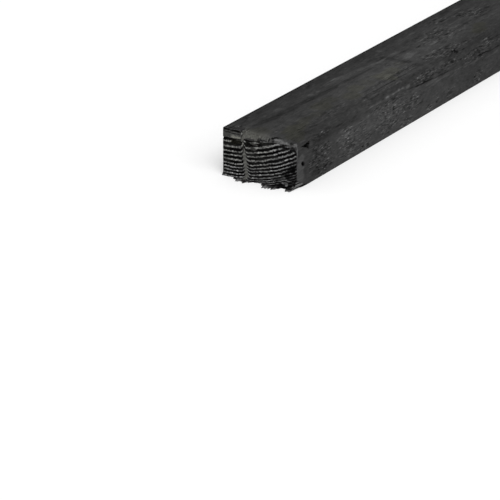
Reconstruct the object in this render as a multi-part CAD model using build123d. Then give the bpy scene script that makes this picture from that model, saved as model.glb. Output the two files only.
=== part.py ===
from build123d import *
import os

# Timber batten: one length of sawn, black-stained softwood, in millimetres.
# X runs along the grain, Y across the width, Z up. The origin is at the middle of the underside.
# The worn, torn end is at -X, and the side with the torn arris is at -Y.

# Sawn size
length = 1800.0
width = 75.0
thickness = 44.0
arris_ease = 0.5
front_arris_round = 5.0

# Splinters left along the bottom of the torn end by the saw as it came through
splinter_reach = 14.0
splinter_height = 4.0
splinter_root = 2.0
splinter_place_shares = (0.30, 0.68, 0.93)
splinter_width_shares = (0.32, 0.30, 0.12)
splinter_reach_shares = (0.80, 1.00, 0.85)
splinter_height_shares = (1.00, 0.80, 0.90)
splinter_tip_width_share = 0.25
splinter_tip_height_share = 0.30

# Upper edge of the torn end, worn back to a slope from one ray in the wood to the front side
worn_edge_run = 4.5
worn_edge_place_shares = (0.273, 0.480, 0.667, 0.880, 1.000)
worn_edge_drops = (8.5, 7.2, 4.8, 6.2, 9.5)

# Corner of the torn end that broke away, at the bottom of the front side
break_along_grain = 18.0
break_across = 3.0
break_up = 10.0

# Hole where a small knot fell out of the front side, close under the top arris
knot_from_end = 16.2
knot_below_top = 7.8
knot_length = 9.0
knot_height = 5.8
knot_tip_rise = 1.4
knot_depth = 6.0
knot_floor_share = 0.35

# Small round pit in the front side, below the knot hole
pit_from_end = 10.7
pit_below_top = 23.7
pit_width = 4.6
pit_height = 4.4
pit_depth = 4.0
pit_floor_share = 0.50

# Long splinter torn off the top arris of the front side
torn_from_end = 70.0
torn_length = 660.0
torn_depth_on_side = 17.0
torn_depth_on_top = 8.0

# How far cutting shapes pass beyond the wood
overrun = 5.0

front_y = -width / 2
back_y = width / 2
far_end_x = length / 2
torn_end_x = -length / 2 + splinter_reach


def towards_front_top(corner):
    """How far a corner of the section lies towards the front side and the top."""
    return corner.Y - corner.X


def sawn_blank():
    """The squared stock between its two ends, three arrises eased and the top front one rounded."""
    section = Rectangle(width, thickness, align=(Align.CENTER, Align.MIN))
    eased = section.vertices().sort_by(towards_front_top)[:-1]
    section = fillet(eased, arris_ease)
    rounded = section.vertices().sort_by(towards_front_top)[-1]
    section = fillet(rounded, front_arris_round)
    across_grain = Plane(origin=(torn_end_x, 0, 0), x_dir=(0, 1, 0), z_dir=(1, 0, 0))
    return extrude(across_grain * section, amount=far_end_x - torn_end_x)


def worn_edge():
    """The wedge worn off the upper edge of the torn end, deepest at the ray and at the front side."""
    profiles = []
    for place_share, drop in zip(worn_edge_place_shares, worn_edge_drops):
        y = back_y - width * place_share
        run_slope = worn_edge_run / drop
        points = (
            (torn_end_x - run_slope * overrun, y, thickness - drop - overrun),
            (torn_end_x + worn_edge_run + run_slope * overrun, y, thickness + overrun),
            (torn_end_x - run_slope * overrun, y, thickness + overrun),
        )
        profiles.append(make_face(Polyline(*points, close=True)))
    return loft(profiles, ruled=True)


def break_plane():
    """The plane along which the lower front corner of the torn end broke away, facing into the wood."""
    corner = Vector(torn_end_x, front_y, 0)
    on_grain = corner + Vector(break_along_grain, 0, 0)
    on_bottom = corner + Vector(0, break_across, 0)
    on_end = corner + Vector(0, 0, break_up)
    facing = (on_bottom - on_grain).cross(on_end - on_grain)
    return Plane(origin=on_grain, x_dir=on_bottom - on_grain, z_dir=facing)


def side_hollow(outline, from_end, below_top, depth, floor_share):
    """A hollow in the front side with this outline at its mouth, narrowing to a share of it inside."""
    place = Vector(torn_end_x + from_end, front_y, thickness - below_top)
    mouth = Plane(origin=place, x_dir=(1, 0, 0), z_dir=(0, 1, 0))
    return loft([mouth * outline, mouth.offset(depth) * scale(outline, floor_share)], ruled=True)


def knot_hole():
    """The three-sided hole that a fallen knot leaves, with its tip towards the torn end."""
    half_length = knot_length / 2
    half_height = knot_height / 2
    tip = (-half_length, -knot_tip_rise)
    outline = make_face(Polyline(tip, (half_length, -half_height), (half_length, half_height), close=True))
    return side_hollow(outline, knot_from_end, knot_below_top, knot_depth, knot_floor_share)


def side_pit():
    """The small pit."""
    outline = Ellipse(pit_width / 2, pit_height / 2)
    return side_hollow(outline, pit_from_end, pit_below_top, pit_depth, pit_floor_share)


def torn_arris():
    """The long shallow scoop that the torn-off splinter left along the top arris."""
    slope = Vector(0, -torn_depth_on_top, -torn_depth_on_side)
    depth = torn_depth_on_top * torn_depth_on_side / slope.length
    outwards = Vector(0, -torn_depth_on_side, torn_depth_on_top).normalized()
    middle = Vector(torn_end_x + torn_from_end + torn_length / 2, front_y, thickness)
    scoop = Plane(origin=middle, x_dir=(1, 0, 0), z_dir=outwards.cross(Vector(1, 0, 0)) * -1)
    half = torn_length / 2
    start = (-half, 0)
    end = (half, 0)
    bottom = (0, -depth)
    outline = ThreePointArc(start, bottom, end) + Polyline(end, (half, overrun), (-half, overrun), start)
    return extrude(scoop * make_face(outline), amount=slope.length, both=True)


def splinters():
    """Tapered splinters that stand out of the torn end along its bottom edge."""
    shares = zip(splinter_place_shares, splinter_width_shares, splinter_reach_shares, splinter_height_shares)
    made = []
    for place_share, width_share, reach_share, height_share in shares:
        root_width = width * width_share
        root_height = splinter_height * height_share
        reach = splinter_reach * reach_share + splinter_root
        tip_width = root_width * splinter_tip_width_share
        tip_height = root_height * splinter_tip_height_share
        tip_start = (root_width - tip_width) / 2
        splinter = Wedge(
            root_width, reach, root_height,
            tip_start, 0, tip_start + tip_width, tip_height,
            align=(Align.CENTER, Align.MIN, Align.MIN),
        )
        root = Plane(
            origin=(torn_end_x + splinter_root, back_y - width * place_share, 0),
            x_dir=(0, 1, 0),
            z_dir=(0, 0, 1),
        )
        made.append(root * splinter)
    return made


def batten():
    """The whole piece of timber."""
    wood = split(sawn_blank(), bisect_by=break_plane(), keep=Keep.TOP)
    wood = wood - worn_edge() - torn_arris() - knot_hole() - side_pit()
    for splinter in splinters():
        wood = wood + splinter
    return wood


os.makedirs("parts", exist_ok=True)
export_step(batten(), "parts/batten.step")
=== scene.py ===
import itertools
import math
from types import SimpleNamespace
import bmesh
import bpy
import numpy as np
from mathutils import Matrix, Vector


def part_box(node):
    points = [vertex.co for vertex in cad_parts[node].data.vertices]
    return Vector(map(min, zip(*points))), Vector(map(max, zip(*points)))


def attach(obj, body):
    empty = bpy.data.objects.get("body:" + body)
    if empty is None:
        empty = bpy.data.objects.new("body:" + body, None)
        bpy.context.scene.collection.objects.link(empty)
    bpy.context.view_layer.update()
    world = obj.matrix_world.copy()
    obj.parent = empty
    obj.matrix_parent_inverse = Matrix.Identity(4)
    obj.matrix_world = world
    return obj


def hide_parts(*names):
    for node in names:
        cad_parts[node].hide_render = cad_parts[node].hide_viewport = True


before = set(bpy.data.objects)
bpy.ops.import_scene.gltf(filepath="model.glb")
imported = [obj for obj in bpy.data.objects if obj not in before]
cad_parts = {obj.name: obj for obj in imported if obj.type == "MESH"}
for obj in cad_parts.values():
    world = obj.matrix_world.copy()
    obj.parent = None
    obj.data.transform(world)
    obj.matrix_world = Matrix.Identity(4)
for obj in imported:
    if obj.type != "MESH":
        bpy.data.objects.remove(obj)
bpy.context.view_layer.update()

# Sizes are in millimetres. A place in the wood is (along, across, up): along the grain from the sawn plane
# of the torn end, across the width from the back side, and up from the underside.
# A grain is the size of some noise along, across and up, and the number of its own layer of noise.
# A pair of places is where a soft change starts and ends. A pair named shows is the value at which a thing
# starts to show and the value at which it shows in full.
MM = 0.001

# Sawn size
splinter_reach = 14.0
node_low, node_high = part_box("batten")
length = (node_high.x - node_low.x) / MM - splinter_reach
width = (node_high.y - node_low.y) / MM
thickness = (node_high.z - node_low.z) / MM
arris_ease = 0.5
front_arris_round = 5.0

# Mesh: cells across and up the torn end, and the spacing of the sections in each zone along the grain
cells_across = 136
cells_up = 80
fine_zone_end = 30.0
fine_step = 0.8
seen_zone_end = 450.0
seen_step = 2.0
plain_step = 24.0
far_zone = 20.0
far_step = 4.0
sharp_angle = math.radians(50)
# A section keeps every so many of those cells: on the bottom and back, and on the front and top
fine_strides = (1, 1)
seen_strides = (8, 1)
plain_strides = (8, 4)
far_strides = (2, 2)

# Growth rings: the pith lies above the top face, and the widths run outwards from the innermost ring seen
pith_across = 4.3
pith_up = 150.6
inner_valley_radius = 108.5
ring_widths = (2.5, 5.5, 4.1, 5.0, 3.8, 3.4, 4.1, 3.4, 2.9, 3.0, 3.1, 2.7, 2.0, 2.0, 2.3)
usual_ring_width = 3.2
usual_rings = 12
ring_wander = 0.35
ring_wander_grain = (300.0, 9.0, 6.0, 1)
ring_shiver = 0.40
ring_shiver_grain = (120.0, 1.3, 2.4, 2)
ring_relief = 1.1
ring_relief_shows = (0.0, 2.0)

# Ray, where the rings of the torn end turn up towards the pith on both sides of a plain core
ray_across_at_top = 19.0
ray_lean = 0.13
ray_lift_at_top = 4.2
ray_lift_at_bottom = 2.4
ray_spread = 1.2
ray_core_at_top = 0.3
ray_core_at_bottom = 1.3
ray_core_rise = (20.0, 30.0)
ray_core_blend = 1.0
ray_core_top = (27.0, 34.0)
ray_fades_along = (20.0, 80.0)

# Worn upper edge of the torn end
worn_edge_run = 4.5
worn_edge_place_shares = (0.273, 0.480, 0.667, 0.880, 1.000)
worn_edge_drops = (8.5, 7.2, 4.8, 6.2, 9.5)
worn_edge_across = [width * share for share in worn_edge_place_shares]
worn_edge_wander = 0.8
worn_edge_grain = (30.0, 4.0, 30.0, 4)
worn_edge_blend = 1.0

# Splinters along the bottom of the torn end; noise as long as 1000 hardly varies in that direction
splinter_place_shares = (0.30, 0.68, 0.93)
splinter_width_shares = (0.32, 0.30, 0.12)
splinter_reach_shares = (0.80, 1.00, 0.85)
splinter_fullness = 1.8
splinter_height = 4.0
splinter_strand_grain = (1000.0, 1.1, 1000.0, 7)
splinter_tuft_grain = (1000.0, 3.2, 1000.0, 15)
splinter_least_strand_share = 0.55
splinter_least_tuft_share = 0.75
splinter_least_height_share = 0.4
splinter_ring_drop_share = 0.45
ragged_reach = 3.5

# Corner broken off at the bottom of the front side
break_along_grain = 18.0
break_across = 3.0
break_up = 10.0
break_rough = 0.6
break_grain = (5.0, 1.6, 1.6, 3)

# Hole of a fallen knot in the front side, and a slanting pit below it
knot_from_end = 16.2
knot_below_top = 7.8
knot_length = 9.0
knot_height = 5.8
knot_tip_rise = 1.4
knot_depth = 6.0
knot_rim = 0.5
knot_ragged = 0.7
knot_ragged_grain = (3.0, 3.0, 2.0, 17)
pit_from_end = 11.4
pit_below_top = 22.9
pit_length = 6.0
pit_breadth = 3.2
pit_turn = math.radians(-38)
pit_depth = 4.0

# Short gash in the top face
gash_along = 294.0
gash_from_front = 4.3
gash_length = 10.0
gash_breadth = 2.4
gash_turn = math.radians(107)
gash_depth = 1.4

# Long splinter torn off the top arris of the front side
torn_from_end = 70.0
torn_length = 660.0
torn_depth_on_side = 17.0
torn_depth_on_top = 8.0
torn_fibre = 0.5
torn_fibre_grain = (45.0, 1.6, 1.6, 5)
torn_strand = 0.35
torn_strand_grain = (14.0, 1.2, 1.2, 6)

# Relief of the sawn faces
sawn_depth = 0.22
sawn_fibre_grain = (40.0, 1.6, 1.6, 8)
sawn_strand_grain = (12.0, 1.2, 1.2, 9)
sawn_shows = (0.5, 2.5)
saw_mark_pitch = 5.5
saw_mark_lean = 0.35
saw_mark_depth = 0.08
saw_mark_grain = (25.0, 25.0, 25.0, 10)

# Levels are screen values that a face shows in plain light: 255 is white, and 0 and less is black
screen_white = 255.0
screen_offset = 0.055
screen_power = 2.4
white = (1.0, 1.0, 1.0, 1.0)
olive_tint = (1.0, 1.0, 0.7, 1.0)

# Top face: a lighter band along it, which glows over some length, and darker strips at its back edge
top_level = 52.5
top_band_from_front = 30.0
top_band_half = 30.0
top_band_gain = 4.0
top_glow_gain = 9.0
top_glow_start = (90.0, 150.0)
top_glow_end = (300.0, 420.0)
back_strip = 1.9
back_strip_change = -32.0
back_strip_ragged = 3.5
back_band = 14.0
back_band_change = -5.0
top_rough_share = 0.25
# Long uneven bands on the top face: change of level, and places as (along, from the front side, half width)
top_bands = (
    (-11, (
        (14, 54.5, 0.5), (24, 53, 3.5), (38, 51, 3.8), (64, 49, 4.2), (95, 49, 3.2), (122, 46, 3.2),
        (150, 47.2, 2.2), (185, 45, 2.0), (210, 45, 0.5),
    )),
    (11, (
        (138, 57.5, 0.5), (152, 56, 4.2), (174, 54.5, 3.5), (202, 51.2, 2.6), (226, 47.5, 2.0),
        (236, 48.2, 1.0), (250, 48, 2.2), (264, 47, 0.5),
    )),
)
# Soft marks on the top face: along, from the front side, half length, half width, change of level
top_marks = (
    (15, 29.5, 2.5, 1.8, 10), (33, 31, 9, 3, 6), (35, 6, 30, 6, -4), (43, 59.5, 3, 1.6, 8),
    (48, 29, 4, 2, 8), (63.5, 58, 6, 3, 12), (64, 11, 7, 1.6, 9), (77, 19.5, 5, 1.5, -9),
    (80, 30, 4, 3, 8), (97, 15, 5, 2, 7), (112, 54, 4, 2.2, 11), (123.5, 53.5, 3, 1.8, 13),
    (160, 18, 45, 9, 3), (193, 30, 9, 8, 6), (200, 6, 80, 5, 4), (215, 29, 14, 7, 5),
    (222, 47.5, 5, 1.8, 10), (226, 56, 9, 3, -7), (237, 13, 5, 8, -8), (237, 40, 5, 16, -11),
    (238.5, 26, 5, 4.5, -13), (245, 6, 45, 6, 3), (251, 63, 4, 5, 13), (255, 34, 13, 5.5, 12),
    (262, 43.5, 12, 1.8, -9), (281, 38.5, 5, 1.6, -18), (298, 33, 10, 3.4, 14), (303, 53, 9, 1.6, -9),
    (307, 25.5, 6, 3, -11), (313, 64, 8, 2, 9), (328, 36, 6, 3.4, -13), (329, 47, 7, 1.5, -9),
    (330, 17, 50, 8, -3), (331, 29.5, 7, 1.8, 14), (333, 8, 5, 2.5, -10), (335, 34, 55, 9, -3),
    (335, 62, 60, 9, 4), (341, 50, 9, 2, 11), (353, 28.7, 4, 2, 13), (356, 39, 9, 1.8, 10),
    (362, 58.5, 6, 1.5, -16), (368, 35.5, 5, 1.5, -11), (385, 52.5, 4, 1.4, -12), (385, 69, 9, 2.2, -10),
    (396, 42, 5, 2.4, -11), (408, 27.5, 11, 2, 9), (411, 52.5, 8, 2.2, 13), (423, 41.5, 5, 2.4, -12),
)
# Thin broken lines on the top face, in the same terms
top_lines = (
    (144, 5.9, 26, 1.0, 14), (150, 2.8, 24, 0.9, -12), (168, 58.5, 16, 1.0, 12),
    (176, 10.5, 46, 0.9, -18), (176, 50, 16, 0.9, 12), (185, 13, 52, 1.0, 19), (193, 17.3, 50, 1.0, -22),
    (200, 20.9, 42, 1.0, 17), (232, 50.5, 10, 0.9, -12), (262, 38, 10, 1.0, 14), (265, 32.5, 10, 1.0, 14),
    (270, 29.5, 10, 0.9, -12), (285, 20.5, 21, 1.2, 15), (290, 17.4, 19, 0.9, -14),
    (300, 46, 14, 0.9, 12), (310, 43, 14, 0.9, -12), (340, 44, 24, 0.9, -10), (345, 34, 22, 0.9, -10),
    (352, 55, 26, 0.9, 11), (372, 46, 30, 0.9, 11), (380, 58, 30, 0.9, -12), (388, 38, 24, 0.9, 11),
    (395, 63, 26, 0.9, 11), (404, 33.5, 26, 1.2, -13),
)
# Thin olive film on the top face: along, from the front side, half length, half width, share
olive_marks = (
    (8, 43, 12, 13, 0.3), (10, 6, 10, 10, 0.33), (15, 10, 15, 8.5, 0.42), (32, 20.5, 20, 8.5, 0.5),
    (52, 25, 14, 6, 0.32), (72, 23, 10, 7, 0.22), (92, 30, 13, 11, 0.38), (110, 33, 12, 8, 0.28),
    (131, 22, 12, 9, 0.34), (150, 29, 12, 10, 0.36), (168, 28, 10, 10, 0.18), (190, 22, 11, 12, 0.4),
    (210, 26, 13, 9, 0.32), (229, 30, 9, 7, 0.15), (357, 16, 13, 7, 0.42), (370, 22, 11, 6, 0.42),
)
# Rough patches of the top face, where short fibres stand up: along, from the front side, half sizes, share
top_rough_marks = (
    (5, 62, 8, 12, 1.1), (30, 69, 9, 4, 0.7), (50, 13, 35, 8, 0.45), (88, 17, 32, 8, 0.45),
    (132, 68, 11, 5, 0.7), (165, 10, 55, 12, 0.5), (188, 66, 10, 5, 0.6), (200, 17, 45, 8, 0.7),
    (225, 35, 14, 8, 0.6), (285, 12, 40, 11, 0.9), (325, 40, 45, 17, 0.75), (360, 62, 14, 9, 1.0),
    (398, 46, 22, 14, 0.9),
)

# Front side: a lighter stretch along it, a light edge beside the torn end, and painted shade, near black,
# in its hollows and in the gash of the top face
side_level = 51.5
side_glow_gain = 9.0
side_glow_start = (40.0, 75.0)
side_glow_end = (240.0, 320.0)
end_edge = 2.6
end_edge_up = (22.0, 34.0)
end_edge_level = 90.0
# Painted shade in the hollows: the level it takes, and the depths over which it comes in
hollow_shade_level = 0.0
hollow_shade_shows = (0.0, 0.3)
side_rough_share = 0.24
# Soft marks on the front side: along, up, half length, half height, change of level
side_marks = (
    (7, 17, 7, 15, 19), (14, 42.5, 4, 1.0, 14), (24.5, 36, 3.5, 1.8, 12), (38, 21, 20, 9, -3),
    (42, 8, 20, 6, -9), (45, 40.5, 6, 1.0, 12), (61, 41, 4, 0.8, 14), (70, 38, 65, 7, -8),
    (72, 38.3, 7, 1.0, -15), (76, 31, 4, 2.5, 8), (88, 24, 9, 2, 8), (95, 34, 30, 4, -4),
    (98, 37.6, 4, 1.3, -12), (118, 26.5, 3.5, 2.8, -8), (125, 24, 75, 10, 6), (160, 33, 38, 4, -5),
    (167, 34.5, 5, 1.6, -13), (190, 19.5, 4.5, 3, -8), (195, 18, 2, 4.5, -9), (201, 24.5, 3, 2, -12),
    (220, 15, 3.5, 1.8, -16), (274, 8, 3, 2, -13), (335, 9, 60, 12, 4),
)
# Thin broken lines of painted light on the front side and the torn arris, in the same terms: a painted
# highlight along the arris (the light ones, up 37 to 39), painted shadow at the edges of the tear (the dark
# ones), and painted glints below its lower edge (the other light ones)
side_painted_light_lines = (
    (118, 37.5, 5, 0.9, 16), (131, 37.8, 8, 0.9, 12), (150, 37.9, 48, 1.0, 18), (152, 38, 9, 1.1, 15),
    (159.5, 37.8, 2.6, 1.8, 15), (169, 37.5, 4, 0.9, 14), (180.5, 38.5, 2.6, 1.3, 22),
    (188.5, 38, 4, 1.3, 16), (197.5, 36.9, 4.5, 1.5, 24), (209, 32.8, 9, 1.0, -12),
    (238, 29.6, 14, 1.0, 8), (300, 27.2, 26, 1.0, 9), (352, 26.8, 22, 0.8, -18),
    (363, 35.3, 20, 0.7, -22),
)
# Rough patches of the front side: along, up, half sizes, share
side_rough_marks = (
    (40, 39, 22, 3, 1.0), (42, 17, 22, 18, 1.25), (85, 24, 20, 9, 1.2), (98, 16, 34, 18, 0.85),
    (115, 6, 16, 6, 1.1), (158, 32, 42, 4, 1.0), (165, 17, 34, 16, 0.95), (165, 25, 34, 6, 1.2),
    (192, 5, 14, 6, 1.0), (208, 20, 18, 9, 1.1), (228, 38, 24, 6, 1.1), (235, 5, 7, 5, 1.0),
    (250, 8, 5, 6, 1.0), (274, 7, 8, 7, 1.1), (275, 37, 30, 5, 0.7), (320, 28, 45, 3, 0.7),
    (330, 8, 13, 7, 1.0), (330, 34, 50, 4, 1.05), (354, 39, 12, 4, 1.1),
)

# Torn arris: beyond some way along, painted shadow follows the lower edge of the tear as a thin dark stroke
# where its lip shades the side, with painted glints, light specks, below it
torn_level = 50.0
torn_painted_light_along = (188.0, 206.0)
torn_shadow_half = 0.3
torn_shadow_change = -36.0
torn_shadow_grain = (11.0, 2.0, 2.0, 18)
torn_shadow_shows = (-0.15, 0.45)
torn_glint_below = 1.6
torn_glint_change = 16.0
torn_glint_grain = (9.0, 1.6, 1.6, 19)
torn_glint_shows = (0.0, 0.6)
# Marks on the torn arris: along, up, half length, half height, change of level
torn_marks = (
    (219, 38.6, 9, 1.2, 12), (231, 33.9, 3, 0.8, -18), (240, 39, 40, 3, 3), (255, 32.8, 3, 0.8, -14),
    (266, 39.0, 6, 1.4, 10), (284, 35.2, 3.5, 1.0, -22), (297, 40.5, 2.5, 1.6, -26),
    (310, 40.0, 5, 0.8, -20), (335, 39, 50, 3, -4), (352, 37.8, 4, 1.2, 12),
)

# Torn end: the ray, an olive film over the rings, and the plain lip above them beside the back side
end_level = 56.0
end_rough_share = 0.6
ray_level = 90.0
ray_olive_share = 0.25
ray_contrast_share = 0.15
ring_olive_share = 0.14
ring_olive_across = (44.0, 54.0)
ring_olive_up = (8.0, 16.0)
ring_fade_share = 0.62
ring_fade_grain = (9.0, 7.0, 3.0, 22)
ring_fade_shows = (-0.5, 0.2)
lip_level = 62.0
lip_start = (35.2, 36.4)
lip_end = (18.0, 19.6)
# Marks on the torn end, each over the last: across, up, half width, half height, level, olive share, depth;
# the darkest ones that are also sunk are cracks, grooves and pockets, painted dark for the shade in them
end_marks = (
    (4, 43.0, 5.0, 1.1, 0, 0.1, 0.5), (12.5, 42.7, 6.5, 1.1, 0, 0.1, 0.5),
    (4, 40.6, 4.5, 0.6, 14, 0.1, 0.4), (13.5, 40.1, 4.8, 0.55, 24, 0.1, 0.4),
    (12.6, 37.0, 5.6, 1.9, 104, 0.4, 0.0), (3, 34.7, 4.2, 1.1, 3, 0.1, 1.2),
    (10.5, 32.2, 3.6, 3.2, 14, 1.0, 1.5), (15.5, 32.8, 4.6, 1.9, 22, 0.8, 1.2),
    (15, 34.6, 3.0, 0.6, 70, 0.6, 0.6), (25.5, 33.2, 3.5, 1.9, 14, 0.3, 0.8),
    (32, 33.7, 4.5, 1.6, 56, 0.25, 0.3), (30.5, 29.5, 3.0, 2.4, 50, 0.2, 0.2),
    (27.5, 27.2, 3.2, 0.8, 14, 0.5, 0.8), (28.5, 24, 2.6, 0.8, 12, 0.5, 0.8),
    (40, 36.4, 5.5, 1.6, 24, 0.3, 0.6), (51.5, 38.9, 3.0, 0.9, 16, 0.0, 0.8),
    (57.5, 37.0, 4.5, 1.0, 20, 0.0, 0.8), (64, 36.8, 4.5, 1.5, 12, 0.0, 0.9),
    (70, 36.2, 3.0, 1.2, 16, 0.0, 0.8), (73, 35.2, 1.8, 1.0, 12, 0.0, 0.8),
    (20.1, 35.5, 1.0, 5.0, 70, 0.35, 0.3), (20.9, 27.2, 0.6, 4.0, 22, 0.3, 0.5),
)
# Lower front part of the torn end, where the rings are torn and blurred
blur_across_at_bottom = 46.0
blur_lean = 0.8
blur_blend = 9.0
blur_up = (20.0, 28.0)
blur_contrast_share = 0.8
blur_levels = (-46.0, 40.0)
blur_depth = 1.0
blur_grain = (9.0, 2.6, 1.7, 12)
# Light torn strands in the bottom corner of that part: across, up, half width, half height
torn_strands = (64.5, 4.5, 9.0, 6.5)
torn_strands_level = 100.0
torn_strands_grain = (9.0, 3.2, 1.1, 21)
torn_strands_shows = (0.05, 0.4)
# Dark and light strands of the splinters and of the broken corner
splinter_levels = (14.0, 105.0)
splinter_shows_shares = (0.20, 0.50)
splinter_light_grain = (1000.0, 3.0, 0.9, 20)
splinter_light_shows = (-0.2, 0.5)
broken_levels = (14.0, 110.0)
broken_strand_grain = (14.0, 1.2, 1.2, 14)
broken_strand_shows = (-0.15, 0.45)

# Worn edge: levels and olive shares across it, lighter downwards, and its glow on the top face behind it
worn_levels = (71.0, 72.0, 65.0, 54.0, 42.0)
worn_level_lean = 2.0
worn_olive_shares = (0.3, 0.3, 0.05, 0.0, 0.0)
worn_glow_along = (3.0, 15.0)
worn_glow_start = (19.5, 21.5)
worn_glow_end = (40.0, 56.0)
worn_glow_share = 0.8
worn_glow_ragged = 3.0
worn_rough_share = 0.2
# Marks on the worn edge, each over the last: across, up, half width, half height, level
worn_marks = (
    (28.0, 37.6, 6.5, 0.6, 44), (40.0, 38.6, 5.5, 1.5, 30), (46.3, 40.2, 0.8, 2.6, 20),
    (49.5, 42.0, 2.0, 0.8, 14), (52.5, 42.9, 2.6, 0.8, 10), (56.0, 43.8, 2.6, 0.8, 14),
    (55.0, 41.6, 4.4, 0.95, 96), (60.5, 40.5, 5.6, 0.9, 86), (50.5, 40.2, 2.0, 0.9, 34),
    (62.0, 38.6, 5.0, 0.9, 16), (70.5, 37.4, 3.2, 1.4, 24), (68.0, 41.0, 1.2, 1.4, 34),
    (72.5, 40.5, 2.5, 1.6, 84),
)

# Underside, back side and far end, and the roughness there and beyond the length that is seen
hidden_level = 54.0
far_end_level = 50.0
far_end_contrast_share = 0.22
wild_rough_share = 0.8
wild_rough_grain = (60.0, 9.0, 9.0, 16)
wild_rough_shows = (0.0, 0.6)

# Soft, ragged edges of marks, as shares of their half size, and gaps in the thin lines
mark_full_share = 0.6
mark_end_share = 1.1
mark_ragged_share = 0.35
end_ragged_grain = (14.0, 2.2, 2.2, 13)
face_ragged_grain = (10.0, 4.5, 4.5, 24)
line_break_grain = (8.0, 3.0, 3.0, 23)
line_break_shows = (-0.8, 0.2)

# Colour of the rings: light ridges between dark valleys, half a ring apart, uneven with beads and flecks
half_ring = 0.5
ridge_shows = (0.23, 0.40)
valley_level = 0.0
ridge_level = 110.0
bead_size = (5.0, 2.4, 1.4)
bead_gain = 210.0
bead_ring_gain = 0.35
fleck_size = (5.0, 1.0, 9.0)
fleck_gain = 110.0

# Unevenness of the stain: sizes along, across and up, and gains in levels
streak_size = (60.0, 2.4, 2.4)
mottle_size = (13.0, 7.0, 7.0)
mottle_gain = 24.0
dash_size = (10.0, 1.7, 1.7)
dash_gain = 500.0
speck_size = (5.0, 1.2, 1.2)
speck_gain = 900.0
grain_detail = 2.0
grain_middle = 0.5
wood_roughness = 0.85
wood_specular = 0.03
wood_bump = 0.25
wood_bump_height = 0.4

# Sockets of a colour mix, by number because the other kinds of mix share their names
mix_first_colour = 6
mix_second_colour = 7
mix_colour_result = 2

# Floor, light and camera: places in metres, lens and sensor in millimetres
floor_half = 60.0
floor_colour = (0.9, 0.9, 0.9, 1.0)
floor_roughness = 1.0
floor_specular = 0.0
floor_glow = 0.14
sky_strength = 0.45
sky_strength_seen = 1.0
key_towards = Vector((-0.55, -0.35, 0.76))
key_strength = 1.9
fill_towards = Vector((-0.20, -0.80, 0.55))
fill_strength = 0.55
lamp_spread = math.radians(40)
camera_place = Vector((-2.9455, -1.2901, 0.9379))
camera_azimuth = math.radians(-57.744)
camera_elevation = math.radians(22.391)
camera_lens = 216.0
camera_sensor = 36.0
camera_sees = 1000.0

# Seeded noise on a lattice of random values
noise_seed = 11
lattice_size = 256
lattice_shift = 37.7
random_source = np.random.default_rng(noise_seed)
lattice_order = random_source.permutation(lattice_size)
lattice_value = random_source.uniform(-1, 1, lattice_size)


# Noise and soft steps


def eased(share):
    """A share from 0 to 1 that starts and ends softly."""
    return share * share * (3 - 2 * share)


def noise(place, grain):
    """Smooth noise from -1 to 1."""
    *sizes, layer = grain
    scaled = place / np.array(sizes) + lattice_shift * layer
    corner = np.floor(scaled).astype(int)
    part = eased(scaled - corner)
    total = np.zeros(len(place))
    for steps in itertools.product((0, 1), repeat=len(sizes)):
        index = np.zeros(len(place), int)
        weight = np.ones(len(place))
        for axis, step in enumerate(steps):
            index = lattice_order[(index + corner[:, axis] + step) % lattice_size]
            weight = weight * np.abs(1 - step - part[:, axis])
        total += weight * lattice_value[index]
    return total


def noise_share(place, grain):
    """The same noise from 0 to 1."""
    return (1 + noise(place, grain)) / 2


def rise(value, start, end):
    """Smooth step from 0 at start to 1 at end."""
    return eased(np.clip((value - start) / (end - start), 0, 1))


def patches(place, grain, shows):
    """How strongly uneven patches of this grain show, from 0 to 1."""
    return rise(noise(place, grain), *shows)


def bump_at(value, middle, half_width):
    """Rounded bump, 1 at the middle and 0 from half a width away."""
    return 1 - rise(np.abs(value - middle), 0, half_width)


def between(start, end, share):
    """The value at this share of the way from start to end."""
    return start + (end - start) * share


# Mesh of the squared stock


def section_ring():
    """Places round the section, (across, up), from the lower back corner along the bottom to the front."""
    across = np.linspace(0, width, cells_across + 1)
    up = np.linspace(0, thickness, cells_up + 1)
    bottom = np.stack([across[:-1], np.zeros(cells_across)], 1)
    front = np.stack([np.full(cells_up, width), up[:-1]], 1)
    top = np.stack([across[:0:-1], np.full(cells_across, thickness)], 1)
    back = np.stack([np.zeros(cells_up), up[:0:-1]], 1)
    return np.concatenate([bottom, front, top, back])


def kept_cells(strides):
    """Which of the ring's places a section keeps."""
    hidden_stride, seen_stride = strides
    back_start = 2 * cells_across + cells_up
    bottom = np.arange(0, cells_across, hidden_stride)
    front_and_top = np.arange(cells_across, back_start, seen_stride)
    back = np.arange(back_start, back_start + cells_up, hidden_stride)
    return np.concatenate([bottom, front_and_top, back])


def stations():
    """(distance along the grain, strides through the ring's cells) for each section."""
    far_start = length - far_zone
    zones = (
        (0, fine_zone_end, fine_step, fine_strides),
        (fine_zone_end, seen_zone_end, seen_step, seen_strides),
        (seen_zone_end, far_start, plain_step, plain_strides),
        (far_start, length, far_step, far_strides),
    )
    made = []
    for start, end, step, strides in zones:
        made += [(along, strides) for along in np.arange(start, end, step)]
    return made + [(length, far_strides)]


def ring_faces(first, second):
    """Faces between two neighbouring sections; the sparser one keeps only some of the other's places."""
    dense, sparse = sorted((first, second), key=lambda section: len(section[1]), reverse=True)
    dense_start, dense_kept = dense
    sparse_start, sparse_kept = sparse
    faces = []
    matching = np.append(np.searchsorted(dense_kept, sparse_kept), len(dense_kept))
    for k in range(len(sparse_kept)):
        near = sparse_start + k
        after = sparse_start + (k + 1) % len(sparse_kept)
        steps = [dense_start + step % len(dense_kept) for step in range(matching[k], matching[k + 1] + 1)]
        if len(steps) == 2:
            faces.append((*steps, after, near))
            continue
        middle = len(steps) // 2
        faces += [(a, b, near) for a, b in zip(steps[:middle], steps[1:middle + 1])]
        faces.append((steps[middle], after, near))
        faces += [(a, b, after) for a, b in zip(steps[middle:-1], steps[middle + 1:])]
    return faces


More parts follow.
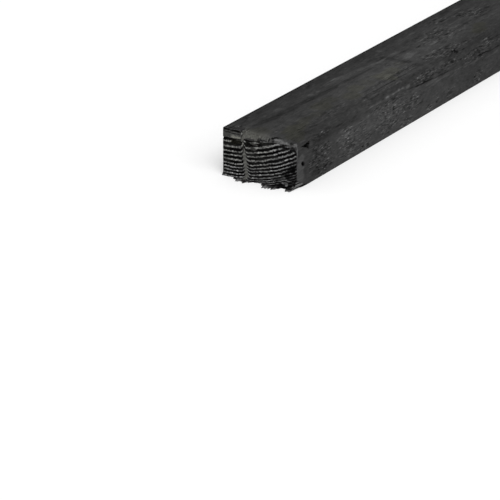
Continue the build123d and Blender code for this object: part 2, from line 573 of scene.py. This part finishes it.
def end_grid(ring_start, stride, along, first_free):
    """Places and faces that close a section with a grid of cells; its rim is the section's own places."""
    count_across = cells_across // stride
    count_up = cells_up // stride
    index = np.zeros((count_across + 1, count_up + 1), int)
    ring = ring_start + np.arange(2 * (count_across + count_up))
    index[:-1, 0] = ring[:count_across]
    index[-1, :-1] = ring[count_across:count_across + count_up]
    index[:0:-1, -1] = ring[count_across + count_up:2 * count_across + count_up]
    index[0, :0:-1] = ring[2 * count_across + count_up:]
    inner_shape = (count_across - 1, count_up - 1)
    index[1:-1, 1:-1] = first_free + np.arange(math.prod(inner_shape)).reshape(inner_shape)
    across = np.linspace(0, width, count_across + 1)[1:-1]
    up = np.linspace(0, thickness, count_up + 1)[1:-1]
    grid_across, grid_up = np.meshgrid(across, up, indexing="ij")
    places = np.stack([np.full(grid_across.size, along), grid_across.ravel(), grid_up.ravel()], 1)
    corners = (index[:-1, :-1], index[1:, :-1], index[1:, 1:], index[:-1, 1:])
    faces = np.stack([corner.ravel() for corner in corners], 1)
    return places, [tuple(face) for face in faces.tolist()]


def squared_stock():
    """Places and faces of the plain block, densest at the torn end, and which faces close its ends."""
    ring = section_ring()
    parts = []
    sections = []
    filled = 0
    for along, strides in stations():
        kept = kept_cells(strides)
        parts.append(np.column_stack([np.full(len(kept), along), ring[kept]]))
        sections.append((filled, kept))
        filled += len(kept)
    faces = []
    for first, second in zip(sections, sections[1:]):
        faces += ring_faces(first, second)
    closes_end = [0.0] * len(faces)
    last_start = filled - len(kept)
    for start, stride, along in ((0, fine_strides[0], 0), (last_start, far_strides[0], length)):
        places, grid = end_grid(start, stride, along, filled)
        parts.append(places)
        faces += grid
        closes_end += [1.0] * len(grid)
        filled += len(places)
    return np.concatenate(parts), faces, closes_end


# Growth rings


def ray_place(up):
    """Distance of the ray from the back side at this height on the torn end."""
    return ray_across_at_top + ray_lean * (thickness - up)


def ray_core(up):
    """Half the width of the ray's plain core at this height."""
    return between(ray_core_at_bottom, ray_core_at_top, rise(up, *ray_core_rise))


def ring_count(flat, fringe):
    """Ring count at each place: whole numbers lie in the soft valleys, halves on the hard ridges."""
    across = flat[:, 1]
    up = flat[:, 2] - splinter_ring_drop_share * fringe
    near_end = 1 - rise(flat[:, 0], *ray_fades_along)
    beside_core = np.maximum(np.abs(across - ray_place(up)) - ray_core(up), 0)
    lift = between(ray_lift_at_bottom, ray_lift_at_top, rise(up, *ray_core_rise))
    lift = near_end * lift * np.exp(-beside_core / ray_spread)
    wander = ring_wander * noise(flat, ring_wander_grain) + ring_shiver * noise(flat, ring_shiver_grain)
    radius = np.hypot(across - pith_across, pith_up - up + lift) + wander
    seen = inner_valley_radius + np.concatenate([[0], np.cumsum(ring_widths)])
    more = usual_ring_width * np.arange(1, usual_rings + 1)
    valleys = np.concatenate([(seen[0] - more)[::-1], seen, seen[-1] + more])
    return np.interp(radius, valleys, np.arange(len(valleys)))


# Marks


def spot(first, second, oval, ragged):
    """How strongly a soft oval mark shows at each place, from 0 to 1."""
    first_middle, second_middle, first_half, second_half = oval
    away = np.hypot((first - first_middle) / first_half, (second - second_middle) / second_half)
    return 1 - rise(away + ragged, mark_full_share, mark_end_share)


def stripe(along, sideways, places, ragged):
    """How strongly a long band shows at each place, from 0 to 1."""
    place_along, middles, half_widths = zip(*places)
    away = np.abs(sideways - np.interp(along, place_along, middles))
    away = away / np.interp(along, place_along, half_widths)
    inside = (along > place_along[0]) & (along < place_along[-1])
    return inside * (1 - rise(away + ragged, mark_full_share, mark_end_share))


def marked(level, first, second, marks, ragged, strength=1):
    """The level with the change of each mark added where the mark shows."""
    for *oval, change in marks:
        level = level + change * strength * spot(first, second, oval, ragged)
    return level


def strongest(least_share, first, second, marks, ragged):
    """The largest share of the marks that show at each place, and the least one between them."""
    share = np.full(len(first), least_share)
    for *oval, mark_share in marks:
        share = np.maximum(share, mark_share * spot(first, second, oval, ragged))
    return share


# Forms


def unit(vector):
    """The vector scaled to length 1."""
    vector = np.array(vector, float)
    return vector / np.linalg.norm(vector)


def turned(first, second, angle):
    """Distances along and across a direction that is turned by this angle from the first one."""
    lengthwise = first * math.cos(angle) + second * math.sin(angle)
    sideways = second * math.cos(angle) - first * math.sin(angle)
    return lengthwise, sideways


def round_section(flat):
    """Rounds the arrises; returns the places and which way is out of the wood on the long faces."""
    across, up = flat[:, 1], flat[:, 2]
    at_front_top = (across > width / 2) & (up > thickness / 2)
    radius = np.where(at_front_top, front_arris_round, arris_ease)[:, None]
    inner = np.clip(flat[:, 1:], radius, np.array((width, thickness)) - radius)
    out = flat[:, 1:] - inner
    reach = np.linalg.norm(out, axis=1)
    shrink = np.divide(np.abs(out).max(axis=1), reach, out=np.ones(len(flat)), where=reach > 0)
    place = flat.copy()
    place[:, 1:] = inner + out * shrink[:, None]
    on_rim = (across == 0) | (across == width) | (up == 0) | (up == thickness)
    outward = np.zeros_like(flat)
    outward[on_rim, 1:] = out[on_rim] / reach[on_rim, None]
    return place, outward


def sawn_relief(flat, on_front):
    """Depth of the saw's marks and the loose grain below each long face, none at the arrises."""
    along, across, up = flat.T
    fibres = (noise(flat, sawn_fibre_grain) + noise(flat, sawn_strand_grain)) / 2
    turn = (along + saw_mark_lean * up) / saw_mark_pitch + noise(flat, saw_mark_grain)
    depth = sawn_depth * (1 + fibres) / 2 + on_front * saw_mark_depth * (1 + np.sin(math.tau * turn)) / 2
    inside_across = np.minimum(across, width - across)
    inside_up = np.minimum(up, thickness - up)
    return depth * rise(np.maximum(inside_across, inside_up), *sawn_shows)


def gash_cut(along, from_front):
    """How strongly the gash in the top face shows at each place."""
    from_gash = turned(along - gash_along, from_front - gash_from_front, gash_turn)
    return spot(*from_gash, (0, 0, gash_length / 2, gash_breadth / 2), 0)


def wear_edge(place, flat):
    """Wears the upper edge of the torn end; returns the places and how strongly each one was worn."""
    drop = np.interp(flat[:, 1], worn_edge_across, worn_edge_drops)
    drop = drop + worn_edge_wander * noise(flat, worn_edge_grain)
    slope = worn_edge_run / drop
    size = np.hypot(1, slope)
    beyond = (slope * (place[:, 2] - thickness + drop) - place[:, 0]) / size
    beyond = beyond * rise(flat[:, 1], worn_edge_across[0] - worn_edge_blend, worn_edge_across[0])
    cut = np.maximum(beyond, 0)
    moved = place.copy()
    moved[:, 0] += cut / size
    moved[:, 2] -= cut * slope / size
    return moved, rise(beyond, 0, worn_edge_blend)


def tear_arris(place, flat):
    """Takes the torn splinter off; returns the places, and where the tear, the painted shadow along its
    lower edge and the painted glints below that show.
    """
    normal = unit((0, torn_depth_on_side, torn_depth_on_top))
    full_depth = normal @ np.array((0, 0, torn_depth_on_side))
    half = torn_length / 2
    from_middle = (flat[:, 0] - torn_from_end - half) / half
    depth = full_depth * (1 - from_middle ** 2)
    inside = depth > 0
    fibres = torn_fibre * np.abs(noise(flat, torn_fibre_grain))
    fibres = fibres + torn_strand * np.abs(noise(flat, torn_strand_grain))
    corner = normal @ np.array((0, width, thickness))
    limit = corner - depth - fibres * rise(depth, 0, torn_depth_on_top)
    beyond = place @ normal - limit
    cut = np.where(inside, np.maximum(beyond, 0), 0)
    torn = rise(beyond, 0, torn_shadow_half * 2) * inside
    shadow_and_glint_span = inside * rise(flat[:, 0], *torn_painted_light_along)
    # Painted shadow: a thin dark stroke along the lower edge of the tear, where its lip shades the side
    line = bump_at(beyond, torn_shadow_half, torn_shadow_half * 2) * shadow_and_glint_span
    line = line * patches(flat, torn_shadow_grain, torn_shadow_shows)
    # Painted glints: light specks just below that painted shadow
    glint = bump_at(beyond, -torn_glint_below, torn_glint_below) * shadow_and_glint_span
    glint = glint * patches(flat, torn_glint_grain, torn_glint_shows)
    return place - cut[:, None] * normal, torn, line, glint


def break_corner(place):
    """Takes the broken corner off; returns the places and how strongly each one was cut."""
    normal = unit((-1 / break_along_grain, 1 / break_across, -1 / break_up))
    distance = normal @ np.array((break_along_grain, width, 0))
    beyond = place @ normal - distance - break_rough * noise(place, break_grain)
    cut = np.maximum(beyond, 0)
    return place - cut[:, None] * normal, rise(beyond, 0, break_rough)


def front_hollows(flat):
    """Depth of the knot hole and the pit below each place of the front side."""
    from_knot = flat[:, [0, 2]] - np.array((knot_from_end, thickness - knot_below_top))
    corners = np.array((
        (-knot_length / 2, knot_tip_rise),
        (knot_length / 2, -knot_height / 2),
        (knot_length / 2, knot_height / 2),
    ))
    outside = np.full(len(flat), -knot_length)
    for start, end in zip(corners, np.roll(corners, -1, axis=0)):
        across_side = unit((end[1] - start[1], start[0] - end[0]))
        outside = np.maximum(outside, (from_knot - start) @ across_side)
    outside = outside + knot_ragged * noise(flat, knot_ragged_grain)
    knot = knot_depth * (1 - rise(outside, 0, knot_rim))
    from_pit = turned(flat[:, 0] - pit_from_end, flat[:, 2] - thickness + pit_below_top, pit_turn)
    pit = pit_depth * spot(*from_pit, (0, 0, pit_length / 2, pit_breadth / 2), 0)
    return np.maximum(knot, pit)


def splinter_strands(flat):
    """Uneven length of the fibres across the torn end, from 0 to 1."""
    strands = between(splinter_least_strand_share, 1, noise_share(flat, splinter_strand_grain))
    tufts = between(splinter_least_tuft_share, 1, noise_share(flat, splinter_tuft_grain))
    return strands * tufts


def splinter_fringe(flat):
    """How far the splinters at the bottom of the torn end stand out of its plane."""
    fringe = np.zeros(len(flat))
    shares = zip(splinter_place_shares, splinter_width_shares, splinter_reach_shares)
    for place_share, width_share, reach_share in shares:
        tongue = bump_at(flat[:, 1], place_share * width, width_share * width / 2)
        tongue = np.minimum(splinter_fullness * tongue, 1)
        fringe = np.maximum(fringe, reach_share * splinter_reach * tongue)
    strands = splinter_strands(flat)
    fringe = ragged_reach * strands + fringe * strands * (1 - ragged_reach / splinter_reach)
    height = splinter_height * between(splinter_least_height_share, 1, strands)
    return fringe * (1 - rise(flat[:, 2], 0, height))


def faces_of(flat):
    """Which places of the plain block lie on its torn end, far end, top face and front side."""
    along, across, up = flat.T
    top = up == thickness
    return SimpleNamespace(end=along == 0, far_end=along == length, top=top, front=(across == width) & ~top)


def shape_wood(flat, on):
    """The shaped places, and how strongly each form shows at them."""
    form = SimpleNamespace()
    place, outward = round_section(flat)
    form.gash = gash_cut(flat[:, 0], width - flat[:, 1]) * on.top
    place = place - outward * (sawn_relief(flat, on.front) + gash_depth * form.gash)[:, None]
    place, form.worn = wear_edge(place, flat)
    place, form.torn, form.line, form.glint = tear_arris(place, flat)
    place, form.broken = break_corner(place)
    form.hollow = front_hollows(flat) * on.front
    place[:, 1] -= form.hollow
    form.fringe = splinter_fringe(flat) * on.end
    form.ring = ring_count(flat, form.fringe)
    return place, form


# Colour of the faces


def worn_paint(flat, place):
    """Level and olive share at each place of the worn edge."""
    across, up = flat[:, 1], place[:, 2]
    ragged = mark_ragged_share * noise(flat, end_ragged_grain)
    level = np.interp(across, worn_edge_across, worn_levels) + worn_level_lean * (thickness - up)
    olive = np.interp(across, worn_edge_across, worn_olive_shares)
    for *oval, mark_level in worn_marks:
        shown = spot(across, up, oval, ragged)
        level = between(level, mark_level, shown)
        olive = olive * (1 - shown)
    return level, olive


def end_ground(flat, ring, ragged):
    """Level, olive share, ring contrast and depth of the torn end, without its marks and splinters."""
    across, up = flat[:, 1], flat[:, 2]
    core = 1 - rise(np.abs(across - ray_place(up)), ray_core(up), ray_core(up) + ray_core_blend)
    core = core * (1 - rise(up, *ray_core_top))
    blur_start = blur_across_at_bottom + blur_lean * up
    blur = rise(across, blur_start, blur_start + blur_blend) * (1 - rise(up, *blur_up))
    blotch = noise_share(flat, blur_grain)
    strands = patches(flat, torn_strands_grain, torn_strands_shows) * spot(across, up, torn_strands, ragged)
    lip = rise(up, *lip_start) * (1 - rise(across, *lip_end))
    level = between(end_level, ray_level, core)
    level = between(level, between(*blur_levels, blotch), blur)
    level = between(level, torn_strands_level, strands * blur)
    level = between(level, lip_level, lip)
    film = ring_olive_share * (1 - rise(across, *ring_olive_across)) * rise(up, *ring_olive_up)
    olive = between(film, ray_olive_share, core)
    contrast = between(1, ray_contrast_share, core) * between(1, blur_contrast_share * blotch, blur)
    contrast = contrast * (1 - lip)
    contrast = contrast * between(ring_fade_share, 1, patches(flat, ring_fade_grain, ring_fade_shows))
    valley = (1 + np.cos(math.tau * ring)) / 2
    recess = ring_relief * valley * contrast * rise(across, *ring_relief_shows) + blur_depth * blur * blotch
    return level, olive, contrast, recess


def end_paint(flat, place, form):
    """The same at each place of the torn end, with its marks, its splinters and its worn edge."""
    across, up = flat[:, 1], flat[:, 2]
    ragged = mark_ragged_share * noise(flat, end_ragged_grain)
    level, olive, contrast, recess = end_ground(flat, form.ring, ragged)
    for *oval, mark_level, mark_olive, mark_depth in end_marks:
        shown = spot(across, up, oval, ragged)
        level = between(level, mark_level, shown)
        olive = between(olive, mark_olive, shown)
        contrast = contrast * (1 - shown)
        recess = between(recess, mark_depth, shown)
    strands = patches(flat, splinter_light_grain, splinter_light_shows)
    splinter = rise(form.fringe / splinter_reach, *splinter_shows_shares)
    level = between(level, between(*splinter_levels, strands), splinter)
    contrast = contrast * (1 - splinter)
    worn_level, worn_olive = worn_paint(flat, place)
    level = between(level, worn_level, form.worn)
    olive = between(olive, worn_olive, form.worn)
    return level, olive, contrast * (1 - form.worn), recess * (1 - form.worn)


def top_paint(along, from_front, ragged, breaks):
    """Level, olive share and roughness at each place of the top face."""
    across = width - from_front
    glow = rise(along, *top_glow_start) * (1 - rise(along, *top_glow_end))
    band = bump_at(from_front, top_band_from_front, top_band_half)
    level = top_level + band * (top_band_gain + top_glow_gain * glow)
    strip_across = across + back_strip_ragged * ragged
    level = level + back_strip_change * (1 - rise(strip_across, back_strip / 2, back_strip))
    level = level + back_band_change * (1 - rise(across, back_band / 2, back_band))
    for change, places in top_bands:
        level = level + change * stripe(along, from_front, places, ragged)
    level = marked(level, along, from_front, top_marks, ragged)
    level = marked(level, along, from_front, top_lines, ragged, breaks)
    olive = strongest(0.0, along, from_front, olive_marks, ragged)
    rough = strongest(top_rough_share, along, from_front, top_rough_marks, ragged)
    return level, olive, rough


def side_paint(along, up, ragged):
    """Level and roughness at each place of the front side."""
    level = side_level + side_glow_gain * rise(along, *side_glow_start) * (1 - rise(along, *side_glow_end))
    level = marked(level, along, up, side_marks, ragged)
    edge = (1 - rise(along, end_edge / 2, end_edge)) * rise(up, *end_edge_up)
    level = between(level, end_edge_level, edge)
    return level, strongest(side_rough_share, along, up, side_rough_marks, ragged)


def long_paint(flat, place, on, form):
    """Level, olive share and roughness at each place of the long faces."""
    along, across, up = flat.T
    shaped_up = place[:, 2]
    ragged = mark_ragged_share * noise(flat, face_ragged_grain)
    breaks = patches(flat, line_break_grain, line_break_shows)
    top_shown, top_olive, top_rough = top_paint(along, width - across, ragged, breaks)
    side_shown, side_rough = side_paint(along, up, ragged)
    level = np.where(on.top, top_shown, np.where(on.front, side_shown, hidden_level))
    torn_shown = marked(torn_level, along, shaped_up, torn_marks, ragged)
    level = between(level, torn_shown, form.torn)
    # Painted light on the front side: the shadow and glints of the tear, and the painted highlights and
    # shadows listed for the side
    painted_light_lines = torn_shadow_change * form.line + torn_glint_change * form.glint
    painted_light_lines = marked(painted_light_lines, along, shaped_up, side_painted_light_lines, ragged, breaks)
    level = level + painted_light_lines * on.front
    glow = rise(across, *worn_glow_start) * (1 - rise(across, *worn_glow_end))
    glow = glow * (1 - rise(along + worn_glow_ragged * ragged, *worn_glow_along)) * on.top
    worn_shown = np.maximum(form.worn, worn_glow_share * glow)
    worn_level, worn_olive = worn_paint(flat, place)
    level = between(level, worn_level, worn_shown)
    olive = between(top_olive * on.top, worn_olive, worn_shown)
    wild = wild_rough_share * patches(flat, wild_rough_grain, wild_rough_shows)
    wild = np.where((on.top | on.front) & (along < seen_zone_end), 0, wild)
    rough = np.maximum(np.where(on.top, top_rough, side_rough), wild)
    return level, olive, rough


def finished_wood(flat):
    """The shaped places, and the values kept with them for their colour."""
    on = faces_of(flat)
    place, form = shape_wood(flat, on)
    end_shown, end_olive, end_contrast, recess = end_paint(flat, place, form)
    place[:, 0] += on.end * (recess - form.fringe)
    level, olive, rough = long_paint(flat, place, on, form)
    level = np.where(on.end, end_shown, np.where(on.far_end, far_end_level, level))
    strands = patches(flat, broken_strand_grain, broken_strand_shows)
    rough = np.where(on.end, end_rough_share, rough)
    contrast = np.where(on.end, end_contrast, far_end_contrast_share * on.far_end)
    values = {
        "level": between(level, between(*broken_levels, strands), form.broken),
        "olive": np.where(on.end, end_olive, olive),
        "rough": np.maximum(rough, worn_rough_share * form.worn),
        "ring": form.ring,
        "contrast": contrast * (1 - form.broken),
        # Painted shade, near black, in the knot hole, the pit and the gash, where shade falls in them
        "hollow": np.maximum(rise(form.hollow, *hollow_shade_shows), form.gash),
    }
    return place, values


# Materials


class Shader:
    """Short calls for making and joining the nodes of one material."""

    def __init__(self, name):
        self.material = bpy.data.materials.new(name)
        self.material.use_nodes = True
        self.tree = self.material.node_tree
        self.surface = self.tree.nodes["Principled BSDF"]

    def node(self, kind):
        """A new node of this kind."""
        return self.tree.nodes.new("ShaderNode" + kind)

    def put(self, socket, value):
        """Joins a socket to an output, or sets it to a plain value."""
        if isinstance(value, bpy.types.NodeSocket):
            self.tree.links.new(value, socket)
        else:
            socket.default_value = value

    def math(self, operation, *numbers):
        """One step of arithmetic."""
        node = self.node("Math")
        node.operation = operation
        for socket, number in zip(node.inputs, numbers):
            self.put(socket, number)
        return node.outputs["Value"]

    def value(self, name):
        """A value kept with each place or face of the mesh."""
        node = self.node("Attribute")
        node.attribute_name = name
        return node.outputs["Fac"]

    def blend(self, share, first, second):
        """Blend of two values."""
        node = self.node("Mix")
        self.put(node.inputs["Factor"], share)
        self.put(node.inputs["A"], first)
        self.put(node.inputs["B"], second)
        return node.outputs["Result"]

    def grain(self, sizes):
        """Noise about 0 with features of these sizes in millimetres along, across and up."""
        place = self.node("TexCoord")
        stretch = self.node("Mapping")
        texture = self.node("TexNoise")
        self.put(stretch.inputs["Vector"], place.outputs["Object"])
        self.put(stretch.inputs["Scale"], [1 / (size * MM) for size in sizes])
        self.put(texture.inputs["Vector"], stretch.outputs["Vector"])
        self.put(texture.inputs["Scale"], 1)
        self.put(texture.inputs["Detail"], grain_detail)
        return self.math("SUBTRACT", texture.outputs["Fac"], grain_middle)

    def sparse(self, value):
        """A value about 0 times its own size, which leaves only its strongest parts."""
        return self.math("MULTIPLY", value, self.math("ABSOLUTE", value))

    def rise(self, value, start, end):
        """Smooth step from 0 at start to 1 at end."""
        node = self.node("MapRange")
        node.interpolation_type = "SMOOTHSTEP"
        self.put(node.inputs["Value"], value)
        self.put(node.inputs["From Min"], start)
        self.put(node.inputs["From Max"], end)
        return node.outputs["Result"]

    def tinted(self, level, tint_share, tint):
        """Grey of this screen level, turned towards a tint by a share."""
        whole = 1 + screen_offset
        level = self.math("MAXIMUM", level, 0)
        shown = self.math("MULTIPLY_ADD", level, 1 / (screen_white * whole), screen_offset / whole)
        light = self.math("POWER", shown, screen_power)
        tinting = self.node("Mix")
        tinting.data_type = "RGBA"
        self.put(tinting.inputs["Factor"], tint_share)
        self.put(tinting.inputs[mix_first_colour], white)
        self.put(tinting.inputs[mix_second_colour], tint)
        scaled = self.node("VectorMath")
        scaled.operation = "SCALE"
        self.put(scaled.inputs["Vector"], tinting.outputs[mix_colour_result])
        self.put(scaled.inputs["Scale"], light)
        return scaled.outputs["Vector"]


def stained_wood():
    """Thin matt black stain on rough sawn softwood, rubbed through on ridges and torn fibres, with the
    painted shade, highlights and glints that the level and hollow values carry.
    """
    wood = Shader("stained_wood")
    streak = wood.grain(streak_size)
    dash = wood.sparse(wood.grain(dash_size))
    speck = wood.sparse(wood.grain(speck_size))
    bead = wood.grain(bead_size)
    tone = wood.math("MULTIPLY_ADD", wood.grain(mottle_size), mottle_gain, wood.value("level"))
    loose = wood.math("MULTIPLY_ADD", speck, speck_gain, wood.math("MULTIPLY", dash, dash_gain))
    tone = wood.math("MULTIPLY_ADD", loose, wood.value("rough"), tone)
    ridge = wood.math("PINGPONG", wood.value("ring"), half_ring)
    ridge = wood.math("MULTIPLY_ADD", bead, bead_ring_gain, ridge)
    ridge = wood.rise(ridge, *ridge_shows)
    crest = wood.math("MULTIPLY_ADD", bead, bead_gain, ridge_level)
    crest = wood.math("MULTIPLY_ADD", wood.grain(fleck_size), fleck_gain, crest)
    rings = wood.blend(ridge, valley_level, crest)
    ring_share = wood.math("MULTIPLY", wood.value("contrast"), wood.value("closes_end"))
    tone = wood.blend(ring_share, tone, rings)
    # Painted shade, near black, in the knot hole, the pit and the gash
    tone = wood.blend(wood.value("hollow"), tone, hollow_shade_level)
    wood.put(wood.surface.inputs["Base Color"], wood.tinted(tone, wood.value("olive"), olive_tint))
    wood.put(wood.surface.inputs["Roughness"], wood_roughness)
    wood.put(wood.surface.inputs["Specular IOR Level"], wood_specular)
    bump = wood.node("Bump")
    wood.put(bump.inputs["Strength"], wood_bump)
    wood.put(bump.inputs["Distance"], wood_bump_height * MM)
    height = wood.math("MULTIPLY_ADD", dash, wood.value("rough"), streak)
    wood.put(bump.inputs["Height"], height)
    wood.put(wood.surface.inputs["Normal"], bump.outputs["Normal"])
    return wood.material


# The batten


def make_batten():
    """The shaped and coloured wood, in place of the plain solid."""
    flat, faces, closes_end = squared_stock()
    place, values = finished_wood(flat)
    origin = np.array((node_low.x / MM + splinter_reach, node_high.y / MM, node_low.z / MM))
    points = (origin + place * np.array((1, -1, 1))) * MM
    mesh = bpy.data.meshes.new("batten_wood")
    mesh.from_pydata(points.tolist(), [], faces)
    work = bmesh.new()
    work.from_mesh(mesh)
    bmesh.ops.recalc_face_normals(work, faces=work.faces)
    work.to_mesh(mesh)
    work.free()
    for name, numbers in values.items():
        mesh.attributes.new(name, "FLOAT", "POINT").data.foreach_set("value", numbers.astype(np.float32))
    mesh.attributes.new("closes_end", "FLOAT", "FACE").data.foreach_set("value", closes_end)
    mesh.shade_smooth()
    mesh.set_sharp_from_angle(angle=sharp_angle)
    mesh.materials.append(stained_wood())
    batten = bpy.data.objects.new("batten_wood", mesh)
    bpy.context.collection.objects.link(batten)
    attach(batten, "root")
    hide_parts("batten")


# Floor, light and camera


def make_floor():
    """White floor that keeps the object's shadow."""
    corners = ((-1, -1), (1, -1), (1, 1), (-1, 1))
    mesh = bpy.data.meshes.new("floor")
    mesh.from_pydata([(x * floor_half, y * floor_half, 0) for x, y in corners], [], [(0, 1, 2, 3)])
    paper = Shader("floor_white")
    paper.put(paper.surface.inputs["Base Color"], floor_colour)
    paper.put(paper.surface.inputs["Roughness"], floor_roughness)
    paper.put(paper.surface.inputs["Specular IOR Level"], floor_specular)
    paper.put(paper.surface.inputs["Emission Color"], white)
    seen = paper.node("LightPath").outputs["Is Camera Ray"]
    paper.put(paper.surface.inputs["Emission Strength"], paper.math("MULTIPLY", seen, floor_glow))
    mesh.materials.append(paper.material)
    floor = bpy.data.objects.new("floor", mesh)
    bpy.context.collection.objects.link(floor)


def make_lamp(name, towards, strength):
    """Soft lamp far away in this direction, which lights the whole floor evenly."""
    data = bpy.data.lights.new(name, "SUN")
    data.energy = strength
    data.angle = lamp_spread
    lamp = bpy.data.objects.new(name, data)
    lamp.rotation_euler = towards.to_track_quat("Z", "Y").to_euler()
    bpy.context.collection.objects.link(lamp)


def make_world():
    """Even white surroundings: white to the camera, and a soft fill for the object."""
    world = bpy.data.worlds.new("studio")
    world.use_nodes = True
    tree = world.node_tree
    background = tree.nodes["Background"]
    background.inputs["Color"].default_value = white
    light_path = tree.nodes.new("ShaderNodeLightPath")
    strength = tree.nodes.new("ShaderNodeMapRange")
    strength.inputs["To Min"].default_value = sky_strength
    strength.inputs["To Max"].default_value = sky_strength_seen
    tree.links.new(light_path.outputs["Is Camera Ray"], strength.inputs["Value"])
    tree.links.new(strength.outputs["Result"], background.inputs["Strength"])
    bpy.context.scene.world = world


def make_camera():
    """The photograph's view, with the torn end nearest."""
    back = Vector((
        math.sin(camera_azimuth) * math.cos(camera_elevation),
        -math.cos(camera_azimuth) * math.cos(camera_elevation),
        math.sin(camera_elevation),
    ))
    right = (-back).cross(Vector((0, 0, 1))).normalized()
    data = bpy.data.cameras.new("camera")
    data.lens = camera_lens
    data.sensor_width = camera_sensor
    data.clip_end = camera_sees
    camera = bpy.data.objects.new("camera", data)
    turn = Matrix((right, right.cross(-back), back)).transposed().to_4x4()
    camera.matrix_world = Matrix.Translation(camera_place) @ turn
    bpy.context.collection.objects.link(camera)
    bpy.context.scene.camera = camera


make_batten()
make_floor()
make_lamp("key_lamp", key_towards, key_strength)
make_lamp("fill_lamp", fill_towards, fill_strength)
make_world()
make_camera()
bpy.context.scene.view_settings.view_transform = "Standard"
